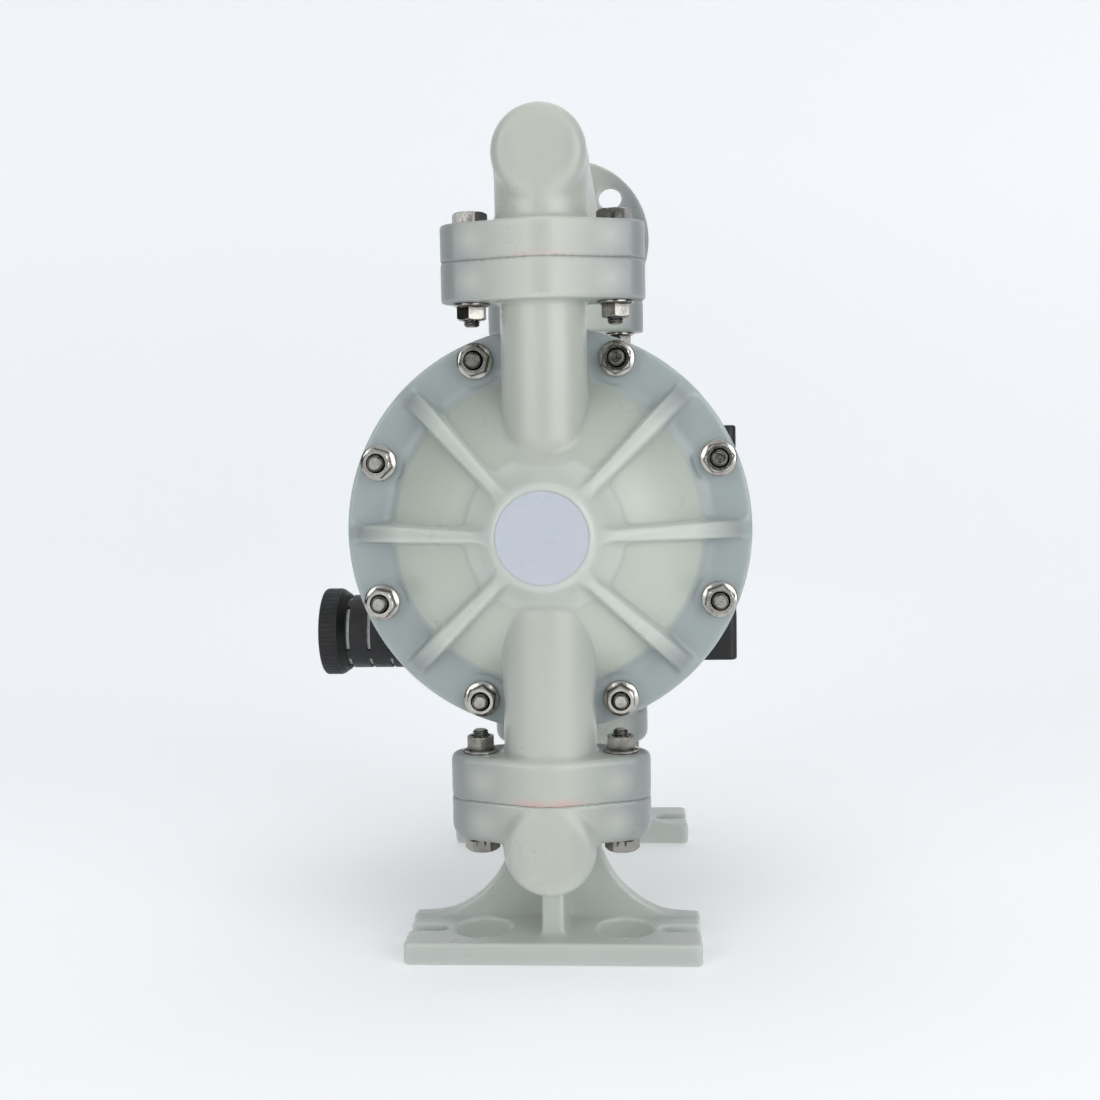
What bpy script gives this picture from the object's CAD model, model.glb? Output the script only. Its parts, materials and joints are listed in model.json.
"""Air operated diaphragm pump: the dressed model, its light and its camera.

The moulded plastic pieces are level surfaces of distance functions, so that ribs, legs
and flanges run into each other with real moulding radii.  Nuts and bolts are profiles
carried round an axis.  Everything else is the CAD, with materials.
"""

import json
from math import cos, pi, radians, sin, sqrt

import bmesh
import bpy
import numpy as np
from mathutils import Matrix, Vector

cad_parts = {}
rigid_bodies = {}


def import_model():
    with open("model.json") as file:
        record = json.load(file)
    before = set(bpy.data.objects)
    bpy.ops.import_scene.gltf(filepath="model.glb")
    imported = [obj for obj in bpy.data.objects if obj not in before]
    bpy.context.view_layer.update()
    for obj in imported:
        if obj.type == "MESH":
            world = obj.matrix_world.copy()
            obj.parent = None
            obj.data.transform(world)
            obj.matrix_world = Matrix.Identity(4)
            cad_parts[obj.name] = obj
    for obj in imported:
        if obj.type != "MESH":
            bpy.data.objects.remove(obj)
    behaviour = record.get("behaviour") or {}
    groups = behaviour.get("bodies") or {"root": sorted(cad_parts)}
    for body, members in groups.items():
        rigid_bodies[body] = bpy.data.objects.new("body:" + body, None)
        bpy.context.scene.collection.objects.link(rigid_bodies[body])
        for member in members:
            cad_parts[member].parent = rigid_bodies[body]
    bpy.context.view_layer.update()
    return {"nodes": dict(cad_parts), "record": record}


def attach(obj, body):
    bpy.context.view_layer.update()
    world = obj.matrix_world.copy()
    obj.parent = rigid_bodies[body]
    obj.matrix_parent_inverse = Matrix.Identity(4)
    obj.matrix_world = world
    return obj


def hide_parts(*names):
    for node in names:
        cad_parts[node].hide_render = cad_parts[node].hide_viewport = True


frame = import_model()

MM = 0.001
STEP = 1.4  # lattice of the moulded pieces, in mm

# ------------------------------------------------------------------ sizes, in mm, as the CAD
# Shaft height, legs along the shaft, joints between chambers and manifolds
AXIS_Z, LEG_Y, JOINT_RISE = 211.0, 108.0, 130.0
TOP_JOINT, BOTTOM_JOINT = AXIS_Z + JOINT_RISE, AXIS_Z - JOINT_RISE

# Two-bolt flanges
FLANGE_MID_R, FLANGE_END_R, FLANGE_HALF, FLANGE_BOLT_X = 26.0, 14.0, 49.2, 34.7
TOP_PLATE, BOTTOM_PLATE, TOP_ELBOW, BOTTOM_ELBOW = 19.0, 21.7, 18.0, 21.5
TOP_EDGE, LIP_H, PARTING = 1.6, 6.0, 0.12

# Chamber: rim, dome, hub, ribs, the leg's blends
CLAMP_Y, RIM_FRONT, RING_BACK, RIM_R, RIM_EDGE = 84.0, 97.0, 71.0, 100.5, 1.6
DOME_R, DOME_BASE_R, DOME_WALL, DOME_BLEND = 100.0, 77.5, 6.0, 5.0
DOME_C = RIM_FRONT - sqrt(DOME_R**2 - DOME_BASE_R**2)
HUB_BASE_R, HUB_TOP_R, HUB_CONE_H, HUB_START, HUB_FRONT = 33.0, 24.5, 16.0, 100.0, 146.0
HUB_EDGE, HUB_BLEND = 3.0, 7.0
RIB_T, RIB_T_OVER, RIB_DRAFT, RIB_END_R, RIB_FOOT, RIB_DROP = 7.0, 20.0, 0.05, 98.0, 1.2, 3.5
RIB_EDGE, RIB_START_EDGE, RIB_END_EDGE, RIB_BLEND = 2.2, 1.0, 3.0, 3.2
RIB_ANGLES = (0, 45, 135, 180, 225, 315)
LEG_BLEND, PLATE_BLEND = 1.8, 2.6
LEGS = (  # radius, way, inner end, its edge, round nose or not, plate and its edge
    (20.8, 1, 26.5, 1.5, True, TOP_PLATE, TOP_EDGE),
    (22.8, -1, 34.0, 5.0, False, BOTTOM_PLATE, 3.4),
)
FLANGE_BACK_H = 105.5  # beyond this height the flanges reach behind the clamp plane

# Chamber: hollow, bead seat of the diaphragm, ball bores, valve seat sockets
HOLLOW_R, BEAD_R, BEAD_DEPTH, HOLLOW_BLEND = 74.0, 84.05, 1.5, 3.0
BORE_START, UP_BORE_R, DOWN_BORE_R = 48.0, 15.0, 18.0
SOCKET_R, SOCKET_DEPTH = 18.55, 3.5

# Manifold pipes
PIPE_R, PIPE_BORE_R, SUCTION_BORE_R, END_WALL, END_ROUND = 22.5, 16.5, 14.5, 6.0, 7.6
DISCHARGE_END, SUCTION_END = -LEG_Y - 23.0, -LEG_Y - 26.0
DISCHARGE_Z, SUCTION_Z = 390.0, 58.5
ELBOW_GAP = 4.0  # a manifold's leg stops this far short of the joint, inside the flange
DISCHARGE_ELBOW_BLEND, SUCTION_ELBOW_BLEND = 2.4, 3.0

# Round rear flange of the discharge manifold
FACE_Y, DISC_R, DISC_T, DISC_EDGE, DISC_BLEND = 190.0, 54.0, 14.0, 1.6, 5.0
FACE_CIRCLE_R, FACE_HOLE_R, FACE_BORE_R, FACE_CUTS_Y = 79.4 / 2, 7.95, 13.3, 160.0
PIPE_BORE_END, ELBOW_BORE_R = 166.0, 18.0

# Threaded rear boss and underside of the flanges of the suction manifold
BOSS_R, BOSS_START, BOSS_END, BOSS_EDGE, BOSS_BLEND = 26.0, 134.0, 160.0, 2.0, 6.0
BOSS_BORE_R, BOSS_BORE_START, FLAT_END_Y = 15.15, 140.0, 133.0
SUCTION_ELBOW_BORE_R, UNDERSIDE_EDGE = 14.45, 9.0

# Feet: plate, web with hollow flanks, rib, round holes and end slots
FOOT_Y, FOOT_HALF_X, FOOT_HALF_Y, FOOT_T, FOOT_CORNER = 101.5, 73.5, 23.5, 10.8, 3.0
WEB_R, WEB_X, WEB_Z, WEB_HALF_X, WEB_IN, WEB_T = 50.4, 72.0, 61.2, 21.6, 20.0, 7.0
FOOT_RIB_HALF, FOOT_RIB_DRAFT, FOOT_RIB_IN, FOOT_RIB_REACH = 5.6, 0.02, 6.0, 17.5
FOOT_EDGE, WEB_BLEND, FOOT_BLEND, FOOT_INSIDE = 1.6, 4.0, 5.0, 5.0
FOOT_HOLE_X, FOOT_HOLE_R, SLOT_X, SLOT_R, FOOT_CUT_EDGE, FOOT_CUT_Z = 35.8, 14.0, 58.5, 5.0, 1.0, 11.5

# Fasteners
BOLT_CIRCLE_R, WRENCH_R, WRENCH_EDGE, WRENCH_LAND = 91.0, 13.0, 1.2, 0.1
M8_R, M8_HOLE_R, M8_PITCH, THREAD_DEPTH, THREAD_L, THREAD_OUT = 4.0, 4.5, 1.25, 0.55, 12.0, 3.2
NUT_H, NUT_FLANGE_R, NUT_FLAT, NUT_BORE_R, HEAD_FLAT, HEAD_H = 8.0, 8.95, 13.0, 4.05, 15.0, 6.0
HOLE_REACH = 30.0  # the flange bolt holes go this far from the joint, past every plate
TAN_30 = 0.5774
SHARP_ANGLE, WELD_GAP = 28.0, 0.004


# ------------------------------------------------------------------ meshes from numpy
def make_object(name, verts, quads, slot, nodes, body="housing"):
    """A mesh object from vertices in mm and rows of four corner indices.

    A fourth column of the vertices, if there is one, becomes the attribute "shade".
    """
    mesh = bpy.data.meshes.new(name)
    mesh.vertices.add(len(verts))
    mesh.vertices.foreach_set("co", (verts[:, :3] * MM).ravel())
    quads = np.asarray(quads, np.int32)
    mesh.loops.add(quads.size)
    mesh.loops.foreach_set("vertex_index", quads.ravel())
    mesh.polygons.add(len(quads))
    mesh.polygons.foreach_set("loop_start", np.arange(0, quads.size, 4, dtype=np.int32))
    mesh.polygons.foreach_set("use_smooth", np.full(len(quads), True))
    mesh.update(calc_edges=True)
    if verts.shape[1] > 3:
        mesh.attributes.new("shade", "FLOAT", "POINT").data.foreach_set("value", verts[:, 3])
    mesh.validate()
    obj = bpy.data.objects.new(name, mesh)
    bpy.context.scene.collection.objects.link(obj)
    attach(obj, body)
    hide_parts(*nodes)
    return obj


def weld(obj):
    """Closes seams and poles, turns the faces outward and marks steep edges sharp."""
    shape = bmesh.new()
    shape.from_mesh(obj.data)
    bmesh.ops.remove_doubles(shape, verts=shape.verts, dist=WELD_GAP * MM)
    bmesh.ops.recalc_face_normals(shape, faces=shape.faces)
    shape.to_mesh(obj.data)
    shape.free()
    obj.data.set_sharp_from_angle(angle=radians(SHARP_ANGLE))


def grid_quads(rows, cols, wrap=True):
    """Corner indices of a grid whose columns close on themselves if wrap is set."""
    across = np.arange(cols if wrap else cols - 1)
    i, j = np.meshgrid(np.arange(rows - 1), across, indexing="ij")
    k = (j + 1) % cols
    corners = [i * cols + j, i * cols + k, (i + 1) * cols + k, (i + 1) * cols + j]
    return np.stack(corners, -1).reshape(-1, 4)


def merge(parts):
    """Joins (verts, quads) pairs into one."""
    verts, quads, base = [], [], 0
    for v, q in parts:
        verts.append(v)
        quads.append(q + base)
        base += len(v)
    return np.concatenate(verts), np.concatenate(quads)


def axis_pair(shape, axis, low=0):
    """Two slices of a lattice, one step apart along an axis, from low on along the others."""
    first = [slice(low, n - low) for n in shape]
    second = list(first)
    first[axis], second[axis] = slice(0, -1), slice(1, None)
    return tuple(first), tuple(second)


def cell_points(field, inside):
    """For each cell of the lattice: the sum of its edges' crossing points, and their count."""
    cells = tuple(n - 1 for n in field.shape)
    total = np.zeros(cells + (3,), np.float32)
    count = np.zeros(cells, np.float32)
    for axis in range(3):
        a, b = axis_pair(field.shape, axis)
        crossed = inside[a] != inside[b]
        t = np.where(crossed, field[a] / np.where(crossed, field[a] - field[b], 1), 0)
        u, v = [k for k in range(3) if k != axis]
        for du, dv in ((0, 0), (0, 1), (1, 0), (1, 1)):
            part = [slice(None)] * 3
            part[u] = slice(du, du + cells[u])
            part[v] = slice(dv, dv + cells[v])
            hit = crossed[tuple(part)].astype(np.float32)
            count += hit
            total[..., axis] += hit * t[tuple(part)]
            total[..., u] += hit * du
            total[..., v] += hit * dv
    return total, count


def settle(distance, verts, step, rounds=4, probe=0.05, slack=0.7, gain=0.9, flat=0.2):
    """Moves points along the gradient onto the level 0, by slack steps of the lattice at most."""
    start = verts.copy()
    for _ in range(rounds):
        value = distance(*verts.T)
        ahead = [distance(*(verts + probe * e).T) for e in np.eye(3)]
        behind = [distance(*(verts - probe * e).T) for e in np.eye(3)]
        gradient = (np.stack(ahead, -1) - np.stack(behind, -1)) / (2 * probe)
        steepness = np.maximum((gradient**2).sum(-1), flat)
        verts = verts - gain * (value / steepness)[:, None] * gradient
        verts = np.clip(verts, start - slack * step, start + slack * step)
    return verts


def surface_net(distance, low, high, step):
    """The level 0 of a distance function as quads.

    Each cell of a cubic lattice that the surface crosses gets one vertex, at the mean of
    its edge crossings, moved along the gradient onto the level; each crossed lattice edge
    joins the vertices of the four cells round it.
    """
    axes = [np.arange(a - step, b + 2 * step, step) for a, b in zip(low, high)]
    field = np.empty(tuple(len(a) for a in axes), np.float32)
    yy, zz = np.meshgrid(axes[1], axes[2], indexing="ij")
    for i, x in enumerate(axes[0]):
        field[i] = distance(np.full_like(yy, x), yy, zz)
    inside = field < 0
    total, count = cell_points(field, inside)
    active = count > 0
    index = np.full(active.shape, -1, np.int64)
    index[active] = np.arange(active.sum())
    verts = (np.argwhere(active) + total[active] / count[active][:, None]) * step
    verts = settle(distance, verts + np.array([a[0] for a in axes]), step)
    quads = []
    for axis in range(3):
        u, v = [k for k in range(3) if k != axis]
        a, b = axis_pair(field.shape, axis, low=1)
        edges = np.argwhere(inside[a] != inside[b])
        outward = inside[a][tuple(edges.T)]
        edges[:, u] += 1
        edges[:, v] += 1
        ring = []
        for du, dv in ((0, 0), (1, 0), (1, 1), (0, 1)):
            cell = edges.copy()
            cell[:, u] -= du
            cell[:, v] -= dv
            ring.append(index[tuple(cell.T)])
        faces = np.stack(ring, -1)
        turned = ~outward if axis != 1 else outward
        faces[turned] = faces[turned][:, ::-1]
        quads.append(faces)
    return verts, np.concatenate(quads)


# ------------------------------------------------------------------ distance functions
def smooth_min(a, b, k):
    """Union with a fillet about k wide."""
    h = np.maximum(k - np.abs(a - b), 0) / k
    return np.minimum(a, b) - h * h * k / 4


def smooth_max(a, b, k):
    """Intersection with its edge rounded over about k."""
    return -smooth_min(-a, -b, k)


def between(value, low, high):
    """Distance to the slab from low to high."""
    return np.abs(value - (low + high) / 2) - (high - low) / 2


def oval(x, y):
    """Distance to the two-bolt flange's outline: circles at the middle and ends, wrapped."""
    x, y = np.abs(x), np.abs(y)
    reach = FLANGE_HALF - FLANGE_END_R
    b = (FLANGE_MID_R - FLANGE_END_R) / reach
    a = sqrt(1 - b * b)
    k = a * x - b * y
    mid = np.hypot(x, y) - FLANGE_MID_R
    end = np.hypot(x - reach, y) - FLANGE_END_R
    side = x * b + y * a - FLANGE_MID_R
    return np.where(k < 0, mid, np.where(k > a * reach, end, side))


def crisp_lip(outline, off):
    """The last LIP_H of a plate, up to the joint at off 0, sharp and set back by PARTING."""
    return np.maximum(outline + PARTING, between(off, -LIP_H, 0.0))


def flange_bolt_holes(x, y):
    """Distance to the two bolt holes of a flange, around its middle."""
    return np.hypot(np.abs(x) - FLANGE_BOLT_X, y) - M8_HOLE_R


def chamber_ribs(x, d, h):
    """Each rib in turn: a wall along u with a crest that falls from the hub to the rim."""
    fall = (HUB_FRONT - RIB_DROP - RIM_FRONT - RIB_FOOT) / (RIB_END_R - HUB_TOP_R)
    for angle in RIB_ANGLES:
        c, s = cos(radians(angle)), sin(radians(angle))
        u, v = x * c + h * s, h * c - x * s
        crest = (d - (RIM_FRONT + RIB_FOOT + fall * (RIB_END_R - u))) / sqrt(1 + fall**2)
        side = np.abs(v) - RIB_T / 2 - RIB_DRAFT * (RIM_FRONT + RIB_T_OVER - d)
        rib = smooth_max(side, crest, RIB_EDGE)
        rib = smooth_max(rib, np.maximum(-u, CLAMP_Y + 1 - d), RIB_START_EDGE)
        yield smooth_max(rib, u - RIB_END_R, RIB_END_EDGE)


def chamber_legs(x, d, h):
    """Each leg in turn, with its flange: a round bar that ends in a ball or nearly square."""
    for radius, way, start, end_edge, nose, plate, plate_edge in LEGS:
        up = h * way
        ball = np.minimum(up - start - radius, 0.0) if nose else 0.0
        leg = np.hypot(np.hypot(x, d - LEG_Y), ball) - radius
        leg = smooth_max(leg, start - up, end_edge)
        leg = np.maximum(leg, up - (JOINT_RISE - plate / 2))
        outline = oval(x, d - LEG_Y)
        flange = smooth_max(outline, between(up, JOINT_RISE - plate, JOINT_RISE), plate_edge)
        yield leg, np.minimum(flange, crisp_lip(outline, up - JOINT_RISE))


def chamber_hollow(x, d, h, r):
    """Inside of the dome, the diaphragm's bead seat and the bores of both legs."""
    hollow = np.maximum(np.hypot(r, d - DOME_C) - (DOME_R - DOME_WALL), r - HOLLOW_R)
    hollow = np.minimum(hollow, np.maximum(r - BEAD_R, d - CLAMP_Y - BEAD_DEPTH))
    leg = np.hypot(x, d - LEG_Y)
    bore_up = np.maximum(leg - UP_BORE_R, BORE_START - h)
    bore_down = np.maximum(leg - DOWN_BORE_R, BORE_START + h)
    return smooth_min(hollow, np.minimum(bore_up, bore_down), HOLLOW_BLEND)


def fluid_chamber(x, y, z):
    """Half chamber: rim, spherical dome, hub, six ribs, two legs on oval flanges."""
    d, h = -y, z - AXIS_Z
    r = np.hypot(x, h)
    rim = smooth_max(r - RIM_R, between(d, CLAMP_Y, RIM_FRONT), RIM_EDGE)
    dome = np.maximum(np.hypot(r, d - DOME_C) - DOME_R, CLAMP_Y + 1 - d)
    body = smooth_min(rim, dome, DOME_BLEND)
    slope = (HUB_BASE_R - HUB_TOP_R) / HUB_CONE_H
    hub = (r - HUB_TOP_R - slope * (HUB_FRONT - d)) / sqrt(1 + slope**2)
    hub = smooth_max(hub, d - HUB_FRONT, HUB_EDGE)
    body = smooth_min(body, np.maximum(hub, HUB_START - d), HUB_BLEND)
    for rib in chamber_ribs(x, d, h):
        body = smooth_min(body, rib, RIB_BLEND)
    for leg, flange in chamber_legs(x, d, h):
        body = smooth_min(smooth_min(body, leg, LEG_BLEND), flange, PLATE_BLEND)
    # flat at the joints, the hub's face and the clamp plane, which only the flanges pass
    body = np.maximum(body, np.maximum(np.abs(h) - JOINT_RISE, d - HUB_FRONT))
    body = np.maximum(body, np.minimum(CLAMP_Y - d, FLANGE_BACK_H - np.abs(h)))
    body = np.maximum(body, -chamber_hollow(x, d, h, r))
    # rim bolt holes with room for a wrench, valve seat sockets, flange bolt holes
    sector = np.arctan2(h, x) % (pi / 4) - pi / 8
    bolt = np.hypot(r * np.cos(sector) - BOLT_CIRCLE_R, r * np.sin(sector))
    body = np.maximum(body, M8_HOLE_R - bolt)
    room = np.maximum(bolt - WRENCH_R, RIM_FRONT + WRENCH_LAND - d)
    body = smooth_max(body, -room, WRENCH_EDGE)
    socket = np.maximum(np.hypot(x, d - LEG_Y) - SOCKET_R, JOINT_RISE - SOCKET_DEPTH - np.abs(h))
    body = np.maximum(body, -socket)
    holes = np.maximum(flange_bolt_holes(x, d - LEG_Y), JOINT_RISE - HOLE_REACH - np.abs(h))
    return np.maximum(body, -holes)


def discharge_manifold(x, y, z):
    """Pipe with a closed end, two elbows on oval flanges and a round rear flange."""
    ring = np.hypot(x, z - DISCHARGE_Z)
    along = np.abs(y) - LEG_Y
    body = smooth_max(ring - PIPE_R, DISCHARGE_END - y, END_ROUND)
    body = np.maximum(body, y - (FACE_Y - DISC_T + 1))
    disc = smooth_max(ring - DISC_R, between(y, FACE_Y - DISC_T, FACE_Y), DISC_EDGE)
    body = smooth_min(body, disc, DISC_BLEND)
    leg = np.maximum(np.hypot(x, along) - PIPE_R, between(z, TOP_JOINT + ELBOW_GAP, DISCHARGE_Z))
    outline = oval(x, along)
    flange = smooth_max(outline, between(z, TOP_JOINT, TOP_JOINT + TOP_ELBOW), TOP_EDGE)
    flange = np.minimum(flange, crisp_lip(outline, TOP_JOINT - z))
    leg = smooth_min(leg, flange, PLATE_BLEND)
    body = smooth_min(body, leg, DISCHARGE_ELBOW_BLEND)
    body = np.maximum(body, np.maximum(TOP_JOINT - z, y - FACE_Y))
    # bores of the pipe, the face and the elbows
    bore = np.maximum(ring - PIPE_BORE_R, between(y, DISCHARGE_END + END_WALL, PIPE_BORE_END))
    bore = np.minimum(bore, np.maximum(ring - FACE_BORE_R, FACE_CUTS_Y - y))
    bore = np.minimum(bore, np.maximum(np.hypot(x, along) - ELBOW_BORE_R, z - DISCHARGE_Z))
    body = np.maximum(body, -bore)
    k = FACE_CIRCLE_R / sqrt(2)
    face_holes = np.hypot(np.abs(x) - k, np.abs(z - DISCHARGE_Z) - k) - FACE_HOLE_R
    body = np.maximum(body, -np.maximum(face_holes, FACE_CUTS_Y - y))
    holes = np.maximum(flange_bolt_holes(x, along), z - TOP_JOINT - HOLE_REACH)
    return np.maximum(body, -holes)


def feet(x, y, z):
    """Two feet: rounded plates, a web with a hollow round flank each side, a rib."""
    ax, fy = np.abs(x), np.abs(y) - FOOT_Y
    plate = np.maximum(ax - FOOT_HALF_X, np.abs(fy) - FOOT_HALF_Y)
    corner_x = np.maximum(ax - FOOT_HALF_X + FOOT_CORNER, 0)
    corner_y = np.maximum(np.abs(fy) - FOOT_HALF_Y + FOOT_CORNER, 0)
    plate = np.maximum(plate, np.hypot(corner_x, corner_y) - FOOT_CORNER)
    plate = smooth_max(plate, between(z, 0.0, FOOT_T), FOOT_EDGE)
    flank = WEB_R - np.hypot(ax - WEB_X, z - WEB_Z)
    web = np.maximum(np.where(z < WEB_Z, flank, ax - WEB_HALF_X), ax - WEB_X)
    web = np.maximum(web, np.maximum(z - WEB_Z, FOOT_INSIDE - z))
    web = smooth_max(web, np.abs(fy + WEB_IN) - WEB_T / 2, FOOT_EDGE)
    rib = ax - FOOT_RIB_HALF + FOOT_RIB_DRAFT * (z - 10)
    rib = smooth_max(rib, np.abs(fy + FOOT_RIB_IN) - FOOT_RIB_REACH, FOOT_EDGE)
    rib = np.maximum(rib, np.maximum(z - SUCTION_Z, FOOT_INSIDE - z))
    return smooth_min(smooth_min(plate, web, WEB_BLEND), rib, WEB_BLEND)


def suction_manifold(x, y, z):
    """Pipe with a closed end and a threaded boss, two flanged legs, two webbed feet."""
    ring = np.hypot(x, z - SUCTION_Z)
    along = np.abs(y) - LEG_Y
    body = smooth_max(ring - PIPE_R, SUCTION_END - y, END_ROUND)
    body = np.maximum(body, y - BOSS_BORE_START)
    boss = smooth_max(ring - BOSS_R, between(y, BOSS_START, BOSS_END), BOSS_EDGE)
    body = smooth_min(body, boss, BOSS_BLEND)
    leg = np.maximum(np.hypot(x, along) - PIPE_R, SUCTION_Z - z)
    leg = np.maximum(leg, z - BOTTOM_JOINT + ELBOW_GAP)
    flange = smooth_max(oval(x, along), BOTTOM_JOINT - BOTTOM_ELBOW - z, UNDERSIDE_EDGE)
    flange = np.maximum(flange, z - BOTTOM_JOINT)
    leg = smooth_min(leg, flange, SUCTION_ELBOW_BLEND)
    body = smooth_min(body, leg, SUCTION_ELBOW_BLEND)
    # flat at the joints, which the boss behind them rises past
    body = np.maximum(body, np.minimum(z - BOTTOM_JOINT, FLAT_END_Y - y))
    body = np.maximum(smooth_min(body, feet(x, y, z), FOOT_BLEND), -z)
    # bores of the pipe, the boss and the elbows
    bore = np.maximum(ring - SUCTION_BORE_R, SUCTION_END + END_WALL - y)
    bore = np.minimum(bore, np.maximum(ring - BOSS_BORE_R, BOSS_BORE_START - y))
    elbow = np.maximum(np.hypot(x, along) - SUCTION_ELBOW_BORE_R, SUCTION_Z - z)
    body = np.maximum(body, -np.minimum(bore, elbow))
    # round holes and end slots of the feet, flange bolt holes
    ax, fy = np.abs(x), np.abs(y) - FOOT_Y
    round_hole = np.maximum(np.hypot(ax - FOOT_HOLE_X, fy) - FOOT_HOLE_R, z - FOOT_CUT_Z)
    body = smooth_max(body, -round_hole, FOOT_CUT_EDGE)
    slot = np.maximum(np.hypot(np.minimum(ax - SLOT_X, 0), fy) - SLOT_R, z - FOOT_CUT_Z)
    body = smooth_max(body, -slot, FOOT_CUT_EDGE)
    holes = np.maximum(flange_bolt_holes(x, along), BOTTOM_JOINT - HOLE_REACH - z)
    return np.maximum(body, -holes)


def moulding(name, distance, low, high, nodes):
    """A moulded plastic piece, and its mirror image to the rear if two nodes are named."""
    verts, quads = surface_net(distance, low, high, STEP)
    make_object(name, verts, quads, "natural_plastic", nodes[:1])
    if len(nodes) > 1:
        mirrored = verts * np.array([1, -1, 1])
        make_object("rear_" + name, mirrored, quads[:, ::-1], "natural_plastic", nodes[1:])


chambers = ("front_fluid_chamber", "rear_fluid_chamber")
moulding("chamber_moulding", fluid_chamber, (-101, -147, 80), (101, -81, 342), chambers)
manifold = ("discharge_manifold",)
moulding("discharge_moulding", discharge_manifold, (-55, -136, 340), (55, 191, 445), manifold)
manifold = ("suction_manifold",)
moulding("suction_moulding", suction_manifold, (-74, -136, -1), (74, 161, 86), manifold)


# ------------------------------------------------------------------ fasteners
def ring_rows(rows, angles):
    """Vertices of rows (radius by angle, height, shade) swept round Z.

    x = r(a) cos a, y = r(a) sin a; a row of radius POLE is welded into a pole.
    """
    verts = []
    for radius, z, *rest in rows:
        radius = np.broadcast_to(radius, angles.shape)
        z = np.broadcast_to(z, angles.shape)
        shade = np.broadcast_to(rest[0] if rest else 1.0, angles.shape)
        verts.append(np.stack([radius * np.cos(angles), radius * np.sin(angles), z, shade], -1))
    return np.concatenate(verts)


POLE = 0.001
NUT_SIDES, BOLT_SIDES, THREAD_ROWS = 72, 48, 8  # rows of a thread by turn
WASHER_H, WASHER_EDGE, WASHER_RISE, WASHER_TOP_R = 1.25, 0.3, 1.1, 6.3
NUT_CONE, NUT_MOUTH_R, HEAD_CONE, HEAD_DISH = 0.96, 4.9, 0.97, 0.25
# How much of the light each part of a fastener gives back
SHADE_UNDER, SHADE_ROOT, SHADE_NUT_SIDE, SHADE_HEAD_SIDE, SHADE_HEAD_CONE = 0.3, 0.25, 0.55, 0.6, 0.9
SHADE_THREAD, SHADE_TIP, SHADE_MOUTH, SHADE_BORE = 0.30, 0.12, 0.12, 0.06


def hexagon(angles, flat):
    """Radius of a hexagon with that width across flats."""
    turn = (angles + pi / 6) % (pi / 3) - pi / 6
    return flat / 2 / np.cos(turn)


def flange_nut():
    """Flange nut over Z 0: the rows are a washer's edge, its slope up to the hexagon,
    and the hexagon where it is within the chamfer cone of 30 degrees."""
    angles = np.linspace(0, 2 * pi, NUT_SIDES, endpoint=False)
    hexa = hexagon(angles, NUT_FLAT)
    rim = NUT_FLANGE_R - WASHER_EDGE
    rows = [(NUT_BORE_R, 0.0), (NUT_FLANGE_R - 0.25, 0.0, SHADE_UNDER), (NUT_FLANGE_R, 0.25, 0.4)]
    rows += [(NUT_FLANGE_R, WASHER_H - WASHER_EDGE), (rim, WASHER_H)]
    for t in np.linspace(0.15, 1, 7):
        slope = rim - (NUT_FLANGE_R - WASHER_TOP_R) * t
        root = np.clip((slope - hexa) / 0.9, 0, 1)
        shade = SHADE_ROOT + (1 - SHADE_ROOT) * root
        rows.append((np.maximum(slope, hexa), WASHER_H + WASHER_RISE * t, shade))
    for z in (4.0, 5.5, 6.5, 6.9, 7.2, 7.5, 7.75, NUT_H):
        cone = NUT_FLAT / 2 * NUT_CONE + (NUT_H - z) / TAN_30
        rows.append((np.minimum(hexa, cone), z, np.where(hexa < cone, SHADE_NUT_SIDE, 1.0)))
    rows += [(NUT_MOUTH_R, NUT_H), (NUT_MOUTH_R - 0.05, NUT_H - 0.1, SHADE_MOUTH)]
    rows += [(NUT_BORE_R, NUT_H - 0.9, SHADE_BORE), (NUT_BORE_R, 0.0, SHADE_BORE), (NUT_BORE_R, 0.0)]
    return ring_rows(rows, angles), grid_quads(len(rows), NUT_SIDES)


def bolt(length, flat):
    """Hex bolt: the rows are a chamfered head under Z 0, a plain shank and a thread.

    The thread is helical: its depth at angle a and height z is a triangle wave of
    z / pitch - a / (2 pi), which fades in over its first turn.
    """
    angles = np.linspace(0, 2 * pi, BOLT_SIDES, endpoint=False)
    hexa = hexagon(angles, flat)
    rows = [(POLE, HEAD_DISH - HEAD_H), (flat * 0.30, HEAD_DISH - HEAD_H), (flat * 0.33, -HEAD_H)]
    for z in (0.0, 0.15, 0.3, 0.55, 0.8, 1.2):
        cone = flat / 2 * HEAD_CONE + z / TAN_30
        shade = np.where(hexa < cone, SHADE_HEAD_SIDE, SHADE_HEAD_CONE)
        rows.append((np.minimum(hexa, cone), z - HEAD_H, shade))
    rows += [(hexa, -0.5, SHADE_HEAD_SIDE), (np.minimum(hexa, flat / 2), 0.0, 0.4), (M8_R, 0.0)]
    start = length - THREAD_L
    rows.append((M8_R, start))
    steps = int(THREAD_L / M8_PITCH * THREAD_ROWS)
    for i in range(steps + 1):
        z = start + (THREAD_L - 0.5) * i / steps
        turns = (z - start) / M8_PITCH
        phase = (turns - angles / (2 * pi)) % 1.0
        depth = THREAD_DEPTH * (1 - np.abs(2 * phase - 1)) * min(1.0, turns)
        tip = max(0.0, (z - (length - 1.3)) / 1.3)
        shade = SHADE_THREAD + (SHADE_TIP - SHADE_THREAD) * tip
        rows.append((np.minimum(M8_R - depth, M8_R - 0.9 * tip), z, shade))
    rows += [(3.0, length - 0.3, SHADE_TIP), (2.95, length - 0.2), (2.7, length), (POLE, length)]
    return ring_rows(rows, angles), grid_quads(len(rows), BOLT_SIDES)


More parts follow.
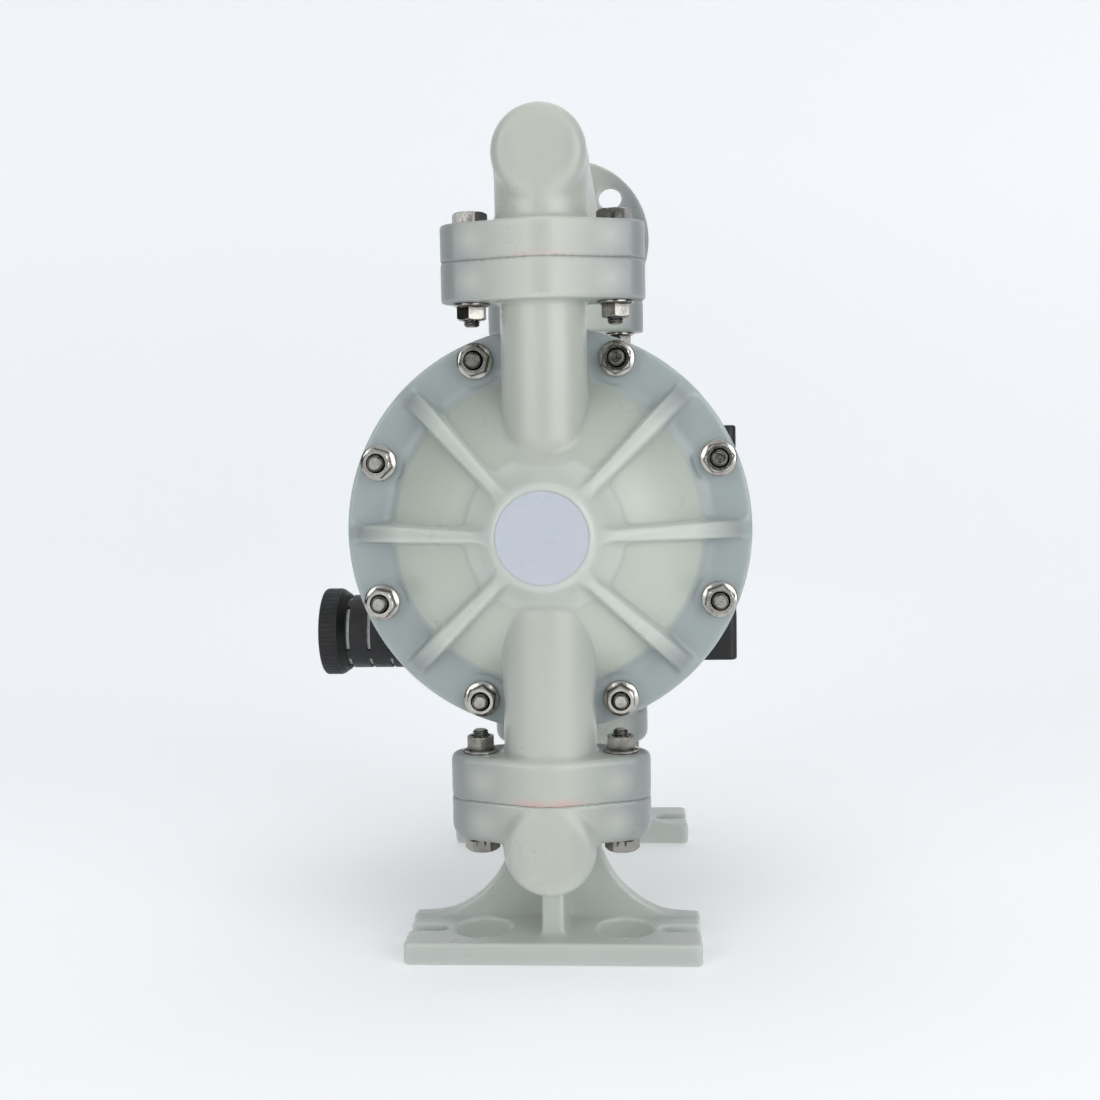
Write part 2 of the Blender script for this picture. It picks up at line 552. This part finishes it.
def place(piece, origin, axis, turn):
    """A piece with its Z carried onto an axis of the pump, turned about it by some degrees."""
    verts, quads = piece
    z = Vector(axis)
    y = z.cross(Vector((1, 0, 0))).normalized()
    x = y.cross(z)
    c, s = cos(radians(turn)), sin(radians(turn))
    rows = np.array([c * x + s * y, c * y - s * x, z])
    moved = verts[:, :3] @ rows + np.array(origin)
    return np.column_stack([moved, verts[:, 3:]]), quads


def fastener_set(name, pieces, node):
    """All nuts or bolts of a joint as one welded mesh."""
    weld(make_object(name, *merge(pieces), "stainless", (node,)))


rng = np.random.default_rng(7)
nut = flange_nut()
chamber_bolt = bolt(RIM_FRONT - RING_BACK + NUT_H + THREAD_OUT, NUT_FLAT)
nuts, bolts = [], []
for side in (-1, 1):
    for i in range(8):
        a = radians(22.5 + 45 * i)
        x, z = BOLT_CIRCLE_R * cos(a), AXIS_Z + BOLT_CIRCLE_R * sin(a)
        turn = float(rng.uniform(0, 60))
        nuts.append(place(nut, (x, side * RIM_FRONT, z), (0, side, 0), turn))
        bolts.append(place(chamber_bolt, (x, side * RING_BACK, z), (0, side, 0), turn + 17))
fastener_set("chamber_nut_set", nuts, "chamber_nuts")
fastener_set("chamber_bolt_set", bolts, "chamber_bolts")

top_bolt = bolt(TOP_PLATE + TOP_ELBOW + NUT_H + THREAD_OUT, HEAD_FLAT)
bottom_bolt = bolt(BOTTOM_PLATE + BOTTOM_ELBOW + NUT_H + THREAD_OUT, HEAD_FLAT)
flange_sets = (  # set, node, piece, height, way it points, turn
    ("top_bolt_set", "top_flange_bolts", top_bolt, TOP_JOINT + TOP_ELBOW, -1, 30),
    ("top_nut_set", "top_flange_nuts", nut, TOP_JOINT - TOP_PLATE, -1, 0),
    ("bottom_bolt_set", "bottom_flange_bolts", bottom_bolt, BOTTOM_JOINT - BOTTOM_ELBOW, 1, 30),
    ("bottom_nut_set", "bottom_flange_nuts", nut, BOTTOM_JOINT + BOTTOM_PLATE, 1, 0),
)
placed = {name: [] for name, *_ in flange_sets}
for x in (-FLANGE_BOLT_X, FLANGE_BOLT_X):
    for y in (-LEG_Y, LEG_Y):
        slack = rng.uniform(-6, 6, 4)
        for (name, _, piece, z, way, turn), extra in zip(flange_sets, slack):
            placed[name].append(place(piece, (x, y, z), (0, 0, way), turn + float(extra)))
for name, node, *_ in flange_sets:
    fastener_set(name, placed[name], node)


# ------------------------------------------------------------------ materials
TUBE_TONE, FLANGE_TONE = (0.435, 0.455, 0.412), (0.252, 0.268, 0.268)
DOME_TONE, RIM_TONE, FOOT_TONE = (0.44, 0.475, 0.425), (0.305, 0.345, 0.345), (0.42, 0.445, 0.42)
RIB_TONE, GLOW_TONE = (0.475, 0.51, 0.475), (0.62, 0.30, 0.30)
STEEL_TONE, STAIN_TONE = (0.52, 0.50, 0.46), (0.02, 0.02, 0.018)


def grey(level):
    return (level, level, level)


def lighter(tone, factor):
    return tuple(factor * c for c in tone)


class Shader:
    """One node material: a Principled surface with helpers that add texture nodes to it."""

    def __init__(self, name):
        self.mat = bpy.data.materials.new(name)
        self.mat.use_nodes = True
        self.tree = self.mat.node_tree
        self.bsdf = self.tree.nodes["Principled BSDF"]
        self.coord = self.tree.nodes.new("ShaderNodeTexCoord").outputs["Object"]

    def feed(self, socket, value):
        """Links a socket to an output, or sets it to a constant."""
        if hasattr(value, "is_output"):
            self.tree.links.new(value, socket)
        else:
            socket.default_value = value

    def set(self, **values):
        """Sets inputs of the surface, with _ for a space in their names."""
        for key, value in values.items():
            self.feed(self.bsdf.inputs[key.replace("_", " ")], value)
        return self

    def node(self, kind, **inputs):
        """A new node with its inputs fed by name."""
        node = self.tree.nodes.new(kind)
        for key, value in inputs.items():
            self.feed(node.inputs[key], value)
        return node

    def noise(self, scale, detail):
        """Cloudy noise of that many cells per metre."""
        return self.node("ShaderNodeTexNoise", Vector=self.coord, Scale=scale, Detail=detail).outputs["Fac"]

    def ramp(self, value, low, first, high, last):
        """The colour first at low, last at high, and a blend between them."""
        node = self.node("ShaderNodeValToRGB", Fac=value)
        for element, position, colour in zip(node.color_ramp.elements, (low, high), (first, last)):
            element.position = position
            element.color = (*colour, 1)
        return node.outputs["Color"]

    def math(self, operation, a, b=0.0, clamp=False):
        """One Math node."""
        node = self.tree.nodes.new("ShaderNodeMath")
        node.operation = operation
        node.use_clamp = clamp
        self.feed(node.inputs[0], a)
        self.feed(node.inputs[1], b)
        return node.outputs[0]

    def times(self, first, *others):
        """The product of several values."""
        for other in others:
            first = self.math("MULTIPLY", first, other)
        return first

    def mix(self, factor, a, b):
        """Colour a at factor 0, colour b at factor 1."""
        node = self.tree.nodes.new("ShaderNodeMix")
        node.data_type = "RGBA"
        for i, value in ((0, factor), (6, a), (7, b)):
            self.feed(node.inputs[i], (*value, 1) if isinstance(value, tuple) else value)
        return node.outputs[2]

    def hypot(self, a, b):
        """The length of (a, b)."""
        squares = self.math("ADD", self.math("MULTIPLY", a, a), self.math("MULTIPLY", b, b))
        return self.math("SQRT", squares)

    def rise(self, value, low, high):
        """0 below low, 1 above high."""
        return self.math("DIVIDE", self.math("SUBTRACT", value, low), high - low, clamp=True)

    def fall(self, value, high, low):
        """0 above high, 1 below low."""
        return self.math("DIVIDE", self.math("SUBTRACT", high, value), high - low, clamp=True)

    def bump(self, height, strength, distance):
        """Relief of the surface, distance in mm."""
        node = self.node("ShaderNodeBump", Height=height, Strength=strength, Distance=distance * MM)
        self.set(Normal=node.outputs[0])

    def roughness(self, scale, detail, low, first, high, last):
        """Roughness that wanders between two levels."""
        self.set(Roughness=self.ramp(self.noise(scale, detail), low, grey(first), high, grey(last)))


def chamber_tones(s, colour, cloudy, x, y, h, r):
    """The rim, the dome with its dark inside, the ribs and the hub of a fluid chamber."""
    height = s.math("ABSOLUTE", h)
    ball = s.hypot(r, s.math("SUBTRACT", y, DOME_C))
    proud = s.rise(ball, DOME_R + 0.3, DOME_R + 1.0)
    leg = s.hypot(x, s.math("SUBTRACT", y, LEG_Y))
    off_leg = s.math("MAXIMUM", s.rise(leg, 23.0, 24.5), s.fall(height, 34.0, 30.0))
    front = s.rise(y, RIM_FRONT + 0.5, RIM_FRONT + 2.0)
    ribs = s.times(proud, off_leg, front, s.fall(height, 100.0, 95.0), s.fall(r, 94.0, 72.0))
    colour = s.mix(ribs, colour, cloudy(RIB_TONE, 1.05))
    dome = s.mix(s.rise(h, 15.0, 75.0), cloudy(DOME_TONE, 1.06), lighter(DOME_TONE, 0.80))
    inside = s.times(s.math("SUBTRACT", 1.0, proud), s.rise(y, RIM_FRONT - 1.5, RIM_FRONT))
    colour = s.mix(inside, colour, dome)
    outer = s.times(s.rise(r, 72.0, 80.0), s.fall(y, RIM_FRONT + 4.0, RIM_FRONT + 1.5))
    outer = s.times(outer, s.fall(r, RIM_R + 0.7, RIM_R + 0.5))
    return s.mix(outer, colour, cloudy(RIM_TONE, 1.06))


def joint_tones(s, colour, x, y, off, amount, lean):
    """At a joint: a red crescent over it, and pale spots where the bolts pass inside."""
    band = s.times(s.rise(off, 0.0, 0.4), s.fall(off, lean, 0.4))
    glow = s.times(band, s.fall(x, 21.0, 6.0), s.fall(y, 135.0, 133.0), amount)
    colour = s.mix(glow, colour, GLOW_TONE)
    height = s.math("SUBTRACT", s.math("ABSOLUTE", off), 10.0)
    spot = s.fall(s.hypot(s.math("SUBTRACT", x, 33.0), height), 9.0, 1.0)
    return s.mix(s.times(spot, 0.45), colour, lighter(TUBE_TONE, 1.15))


def natural_plastic():
    """Unfilled polypropylene: milky and warm in its tubes, greenish over the dome's dark
    inside, bluish where it is solid and thin, with a red ring glowing at each joint."""
    s = Shader("natural_plastic")
    cloud = s.noise(14.0, 3.0)

    def cloudy(tone, factor):
        return s.ramp(cloud, 0.3, tone, 0.7, lighter(tone, factor))

    # places in mm, the same for both sides and for both chambers
    x, y, z = s.node("ShaderNodeSeparateXYZ", Vector=s.coord).outputs
    x, y, z = (s.math("DIVIDE", value, MM) for value in (x, y, z))
    x, y = s.math("ABSOLUTE", x), s.math("ABSOLUTE", y)
    h = s.math("SUBTRACT", z, AXIS_Z)
    colour = s.mix(s.fall(x, 42.0, 10.0), cloudy(FLANGE_TONE, 1.05), cloudy(TUBE_TONE, 1.05))
    colour = chamber_tones(s, colour, cloudy, x, y, h, s.hypot(x, h))
    off_pipe = s.rise(s.hypot(x, s.math("SUBTRACT", z, SUCTION_Z)), 23.0, 26.0)
    colour = s.mix(s.times(s.fall(z, 56.0, 30.0), off_pipe), colour, cloudy(FOOT_TONE, 1.05))
    for joint, amount, lean in ((TOP_JOINT, 0.30, 4.0), (BOTTOM_JOINT, 0.65, 5.0)):
        colour = joint_tones(s, colour, x, y, s.math("SUBTRACT", z, joint), amount, lean)
    # the emission is light that has wandered through the wall from behind
    s.set(Base_Color=colour, Emission_Color=colour, Emission_Strength=0.10)
    s.set(Subsurface_Weight=1.0, Subsurface_Scale=0.006, Subsurface_Radius=(1.0, 1.0, 0.9), IOR=1.49)
    s.roughness(40.0, 4.0, 0.3, 0.26, 0.7, 0.37)
    s.bump(s.noise(420.0, 3.0), 0.06, 0.3)
    return s.mat


def steel(name, shaded):
    """Stainless steel, turned, scratched and stained; if shaded, by the attribute "shade"."""
    s = Shader(name)
    colour = s.ramp(s.noise(160.0, 5.0), 0.25, lighter(STEEL_TONE, 0.55), 0.55, STEEL_TONE)
    if shaded:
        attribute = s.node("ShaderNodeAttribute")
        attribute.attribute_name = "shade"
        colour = s.mix(attribute.outputs["Fac"], STAIN_TONE, colour)
    s.set(Metallic=1.0, Base_Color=colour)
    s.roughness(700.0, 4.0, 0.3, 0.10, 0.75, 0.26)
    s.bump(s.noise(1500.0, 4.0), 0.22, 0.2)
    return s.mat


def black_plastic():
    """Glass-filled black polypropylene with a fine spark-eroded grain."""
    s = Shader("black_plastic")
    colour = s.ramp(s.noise(70.0, 5.0), 0.3, (0.0035, 0.0035, 0.004), 0.75, (0.007, 0.007, 0.008))
    s.set(Base_Color=colour)
    s.roughness(120.0, 3.0, 0.3, 0.40, 0.7, 0.55)
    s.bump(s.noise(1800.0, 4.0), 0.30, 0.3)
    return s.mat


def plain(name, low, high, rough, scale=90.0, bump=0.1):
    """A surface whose colour wanders between two tones, with a little relief."""
    s = Shader(name)
    s.set(Base_Color=s.ramp(s.noise(scale, 4.0), 0.3, low, 0.7, high))
    s.roughness(scale * 3, 3.0, 0.3, rough * 0.85, 0.7, rough * 1.15)
    s.bump(s.noise(scale * 12, 3.0), bump, 0.2)
    return s.mat


LABEL_LOW, LABEL_HIGH = (0.455, 0.485, 0.535), (0.468, 0.498, 0.548)
POROUS_LOW, POROUS_HIGH = (0.62, 0.62, 0.60), (0.82, 0.82, 0.80)
MATERIALS = {
    "natural_plastic": natural_plastic(),
    "stainless": steel("stainless", shaded=False),
    "fastener": steel("fastener", shaded=True),
    "black_plastic": black_plastic(),
    "red_elastomer": plain("red_elastomer", (0.50, 0.03, 0.025), (0.62, 0.05, 0.04), 0.5),
    "black_rubber": plain("black_rubber", grey(0.012), grey(0.024), 0.75, bump=0.3),
    "white_ptfe": plain("white_ptfe", (0.80, 0.80, 0.78), (0.88, 0.88, 0.86), 0.38),
    "white_label": plain("white_label", LABEL_LOW, LABEL_HIGH, 0.30, scale=30.0, bump=0.0),
    "porous_white": plain("porous_white", POROUS_LOW, POROUS_HIGH, 0.9, scale=500.0, bump=0.8),
}
slots = {p["node"]: p["material_slot"] for p in frame["record"]["subparts"]}
for node, obj in frame["nodes"].items():
    obj.data.materials.clear()
    obj.data.materials.append(MATERIALS[slots[node]])
for obj in bpy.context.scene.objects:
    if obj.type == "MESH" and not obj.data.materials:
        kind = "fastener" if obj.name.endswith("_set") else "natural_plastic"
        obj.data.materials.append(MATERIALS[kind])


# ------------------------------------------------------------------ floor, light, camera
SWEEP_FRONT, SWEEP_BACK, SWEEP_R, SWEEP_TOP, SWEEP_HALF = -3.0, 1.4, 0.8, 4.5, 4.0  # metres
FLOOR_DROP = 0.0003


def stage_piece(name, verts, faces, low, high, **surface):
    """A mesh of the studio with a matt surface that wanders between two tones."""
    mesh = bpy.data.meshes.new(name)
    mesh.from_pydata(verts, [], faces)
    obj = bpy.data.objects.new(name, mesh)
    bpy.context.scene.collection.objects.link(obj)
    shade = Shader(name)
    scale, detail, start, end = surface.pop("cloud")
    shade.set(Base_Color=shade.ramp(shade.noise(scale, detail), start, low, end, high), **surface)
    mesh.materials.append(shade.mat)
    return obj


def backdrop():
    """A pale sweep: flat floor, a quarter round and an upright wall behind."""
    rows = [(y, 0.0) for y in np.linspace(SWEEP_FRONT, SWEEP_BACK, 8)]
    for a in np.linspace(0.1, pi / 2, 14):
        rows.append((SWEEP_BACK + SWEEP_R * sin(a), SWEEP_R - SWEEP_R * cos(a)))
    rows += [(SWEEP_BACK + SWEEP_R, z) for z in np.linspace(1.2, SWEEP_TOP, 5)]
    xs = np.linspace(-SWEEP_HALF, SWEEP_HALF, 9)
    verts = [(x, y, z - FLOOR_DROP) for y, z in rows for x in xs]
    faces = grid_quads(len(rows), len(xs), wrap=False)[:, ::-1].tolist()
    low, high = (0.86, 0.865, 0.87), (0.88, 0.885, 0.89)
    glow = {"Emission_Color": (0.95, 0.97, 1.0, 1), "Emission_Strength": 0.2}
    cloud = (0.6, 1.0, 0.2, 0.8)
    obj = stage_piece("backdrop", verts, faces, low, high, cloud=cloud, Roughness=0.9, **glow)
    obj.data.polygons.foreach_set("use_smooth", [True] * len(faces))


def dark_card(name, middle, across, tall):
    """A black board that only reflections show, for the dark half of what the steel reflects."""
    corners = [(-across / 2, 0, -tall / 2), (across / 2, 0, -tall / 2)]
    corners += [(across / 2, 0, tall / 2), (-across / 2, 0, tall / 2)]
    turn = Vector((middle[0], middle[1], 0)).to_track_quat("-Y", "Z")
    verts = [turn @ Vector(c) + Vector(middle) for c in corners]
    cloud = (20.0, 3.0, 0.3, 0.7)
    obj = stage_piece(name, verts, [(0, 1, 2, 3)], grey(0.010), grey(0.014), cloud=cloud)
    obj.visible_camera = False


def area_light(name, place_at, target, size, power):
    """A square soft light that looks at a point."""
    data = bpy.data.lights.new(name, "AREA")
    data.size, data.energy = size, power
    obj = bpy.data.objects.new(name, data)
    obj.location = place_at
    obj.rotation_euler = (Vector(target) - Vector(place_at)).to_track_quat("-Z", "Y").to_euler()
    bpy.context.scene.collection.objects.link(obj)


backdrop()
dark_card("left_card", (-1.1, -0.30, 0.35), across=0.9, tall=1.5)
dark_card("right_card", (1.1, -0.10, 0.35), across=0.8, tall=1.5)
dark_card("front_card", (0.05, -1.6, 0.35), across=0.5, tall=1.2)
middle = (0, 0, 0.22)
area_light("key", (1.3, -1.5, 0.60), middle, size=1.5, power=19)
area_light("fill", (-1.2, -1.7, 0.80), middle, size=1.2, power=10)
area_light("top", (0.1, 0.3, 2.0), middle, size=1.6, power=4)

scene = bpy.context.scene
scene.world = bpy.data.worlds.new("studio")
scene.world.use_nodes = True
background = scene.world.node_tree.nodes["Background"]
background.inputs["Color"].default_value = (0.93, 0.96, 1.0, 1)
background.inputs["Strength"].default_value = 0.66
scene.view_settings.view_transform = "Standard"

# The camera stands in front, a little right of and above the shaft, and looks slightly down.
CAMERA_AT = (0.04385, -0.77881, 0.25848)
FOCAL_PX, FRAME_PX, SENSOR = 1381.65, 1100, 36
yaw, pitch, roll = radians(3.63), radians(-4.77), radians(-0.98)
forward = Vector((-sin(yaw) * cos(pitch), cos(yaw) * cos(pitch), sin(pitch)))
right = Vector((cos(yaw), sin(yaw), 0))
up = right.cross(forward)
rolled_right = cos(roll) * right + sin(roll) * up
rolled_up = cos(roll) * up - sin(roll) * right
camera_data = bpy.data.cameras.new("camera")
camera_data.sensor_width = SENSOR
camera_data.lens = FOCAL_PX / FRAME_PX * SENSOR
camera = bpy.data.objects.new("camera", camera_data)
turn = Matrix((rolled_right, rolled_up, -forward)).transposed().to_4x4()
camera.matrix_world = Matrix.Translation(CAMERA_AT) @ turn
scene.collection.objects.link(camera)
scene.camera = camera
